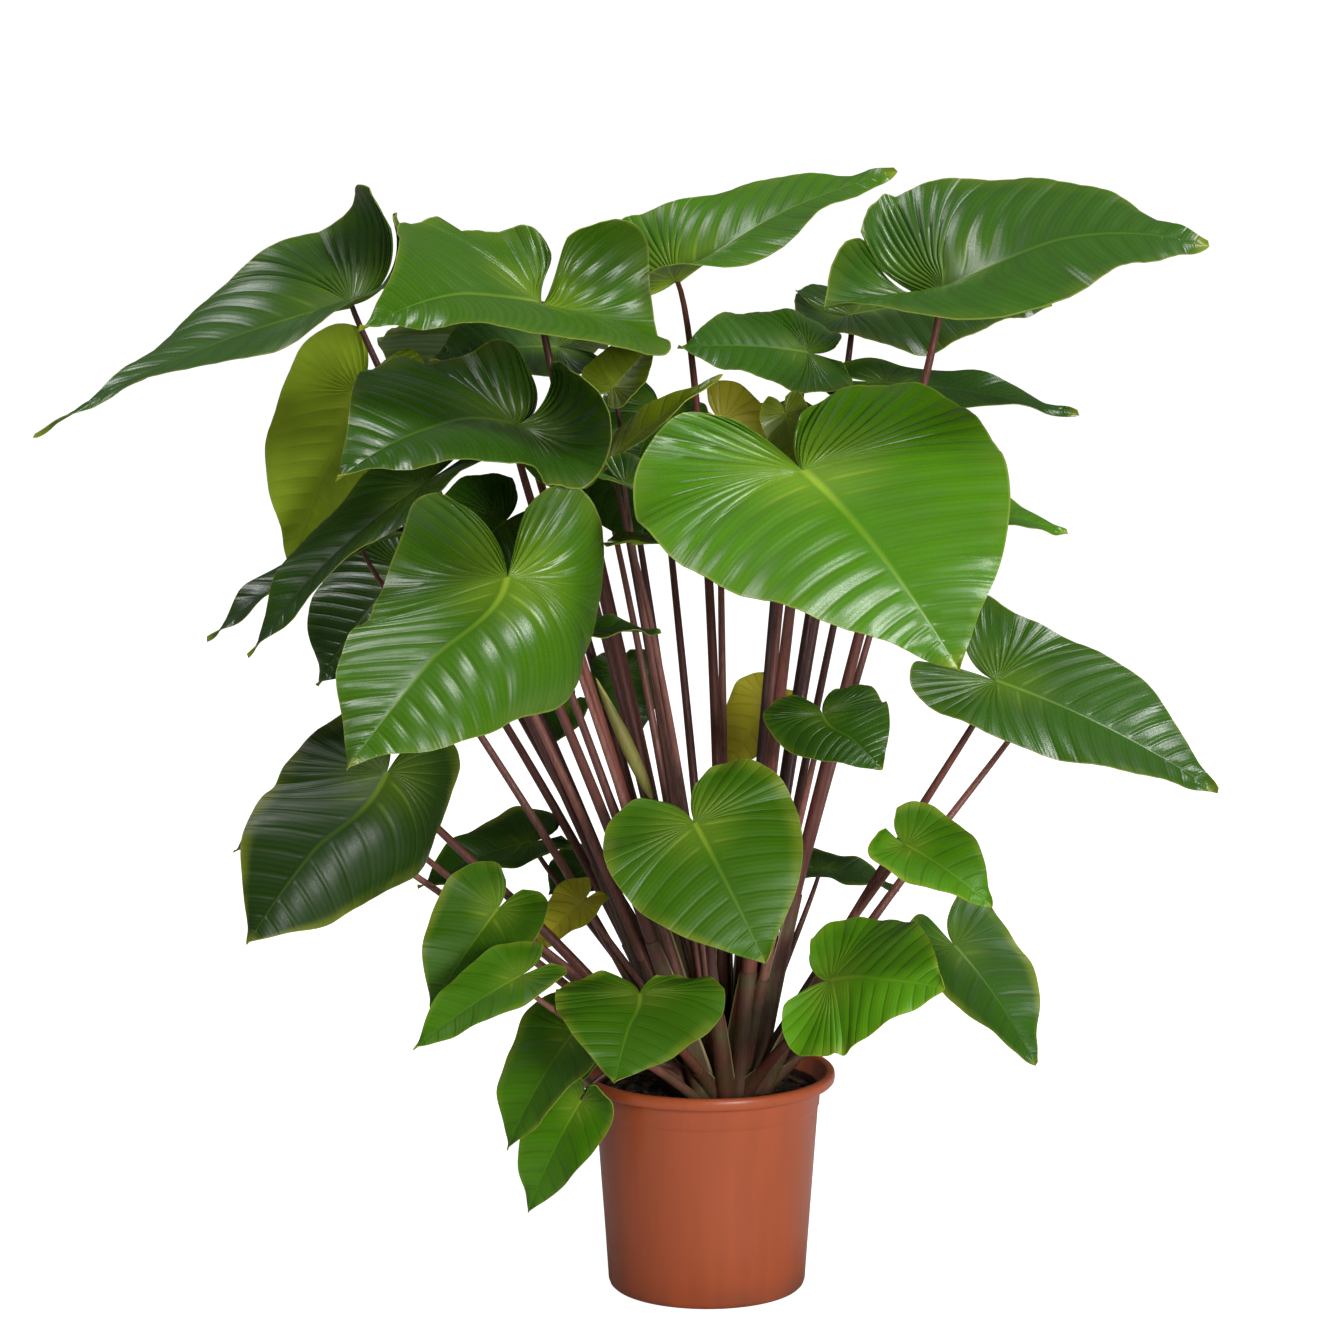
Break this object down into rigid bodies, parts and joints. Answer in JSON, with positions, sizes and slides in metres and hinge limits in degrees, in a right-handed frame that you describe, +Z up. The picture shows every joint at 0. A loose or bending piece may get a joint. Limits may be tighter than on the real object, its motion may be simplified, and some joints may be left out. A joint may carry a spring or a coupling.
{
  "type": "potted plant",
  "caption": "Leafy potted homalomena: glossy heart-shaped leaves on long reddish stalks from one crown, in a plain terracotta-brown plastic nursery pot filled with soil.",
  "frame": {"origin": "middle of the pot's flat base", "axes": "+Z up, -Y towards the plant's best side, +X to its right seen from there"},
  "size_m": [1.1485, 0.8507, 1.1114],
  "materials": {
    "leaf_deep": "gloss",
    "leaf_fresh": "gloss",
    "leaf_olive": "satin",
    "leaf_yellow": "satin",
    "pot_plastic": "satin",
    "potting_soil": "matte",
    "stalk": "satin"
  },
  "bodies": {
    "root": {"pot": "pot_plastic", "soil": "potting_soil", "stalks": "stalk", "leaf_far_left": "leaf_deep", "leaf_hanging_left": "leaf_olive", "leaf_top_left": "leaf_fresh", "leaf_dark_left": "leaf_deep", "leaf_front_left": "leaf_fresh", "leaf_low_left": "leaf_deep", "leaf_behind_low_left": "leaf_fresh", "leaf_glossy_left": "leaf_deep", "leaf_tip_left": "leaf_deep", "leaf_ragged_left": "leaf_deep", "leaf_top_middle": "leaf_fresh", "leaf_top_right": "leaf_deep", "leaf_under_top_right": "leaf_deep", "leaf_dark_mid": "leaf_deep", "leaf_right_mid": "leaf_deep", "leaf_front_right": "leaf_fresh", "leaf_tip_right": "leaf_fresh", "leaf_right": "leaf_deep", "leaf_small_heart": "leaf_deep", "leaf_right_low": "leaf_fresh", "leaf_edge_right": "leaf_deep", "leaf_low_right": "leaf_fresh", "leaf_lowest_right": "leaf_deep", "leaf_front_mid": "leaf_fresh", "leaf_front_low": "leaf_fresh", "leaf_low_heart_left": "leaf_fresh", "leaf_low_tip_left": "leaf_fresh", "leaf_pale_low_left": "leaf_fresh", "leaf_lowest_left": "leaf_fresh", "leaf_rim_leaf": "leaf_deep", "leaf_glossy_behind_left": "leaf_deep", "leaf_small_behind_left": "leaf_deep", "leaf_yellow_low_left": "leaf_yellow", "leaf_yellow_mid": "leaf_yellow", "leaf_behind_mid_left": "leaf_deep", "leaf_edge_mid_left": "leaf_deep", "leaf_folded_mid": "leaf_deep", "leaf_upper_small": "leaf_olive", "leaf_upper_dark": "leaf_deep", "leaf_yellow_top": "leaf_yellow", "leaf_edge_top": "leaf_olive", "leaf_olive_top": "leaf_olive", "leaf_under_top_left": "leaf_deep", "leaf_behind_front_left": "leaf_deep", "leaf_pale_mid_left": "leaf_deep", "leaf_back_upper_left": "leaf_deep", "leaf_back_upper_right": "leaf_deep", "leaf_back_left": "leaf_deep", "leaf_back_middle": "leaf_deep", "leaf_back_right": "leaf_deep", "leaf_back_low_left": "leaf_deep", "leaf_back_low": "leaf_deep", "leaf_folded_low": "leaf_deep", "leaf_edge_front": "leaf_olive", "leaf_dark_under": "leaf_deep", "young_leaf": "leaf_yellow"}
  },
  "joints": []
}
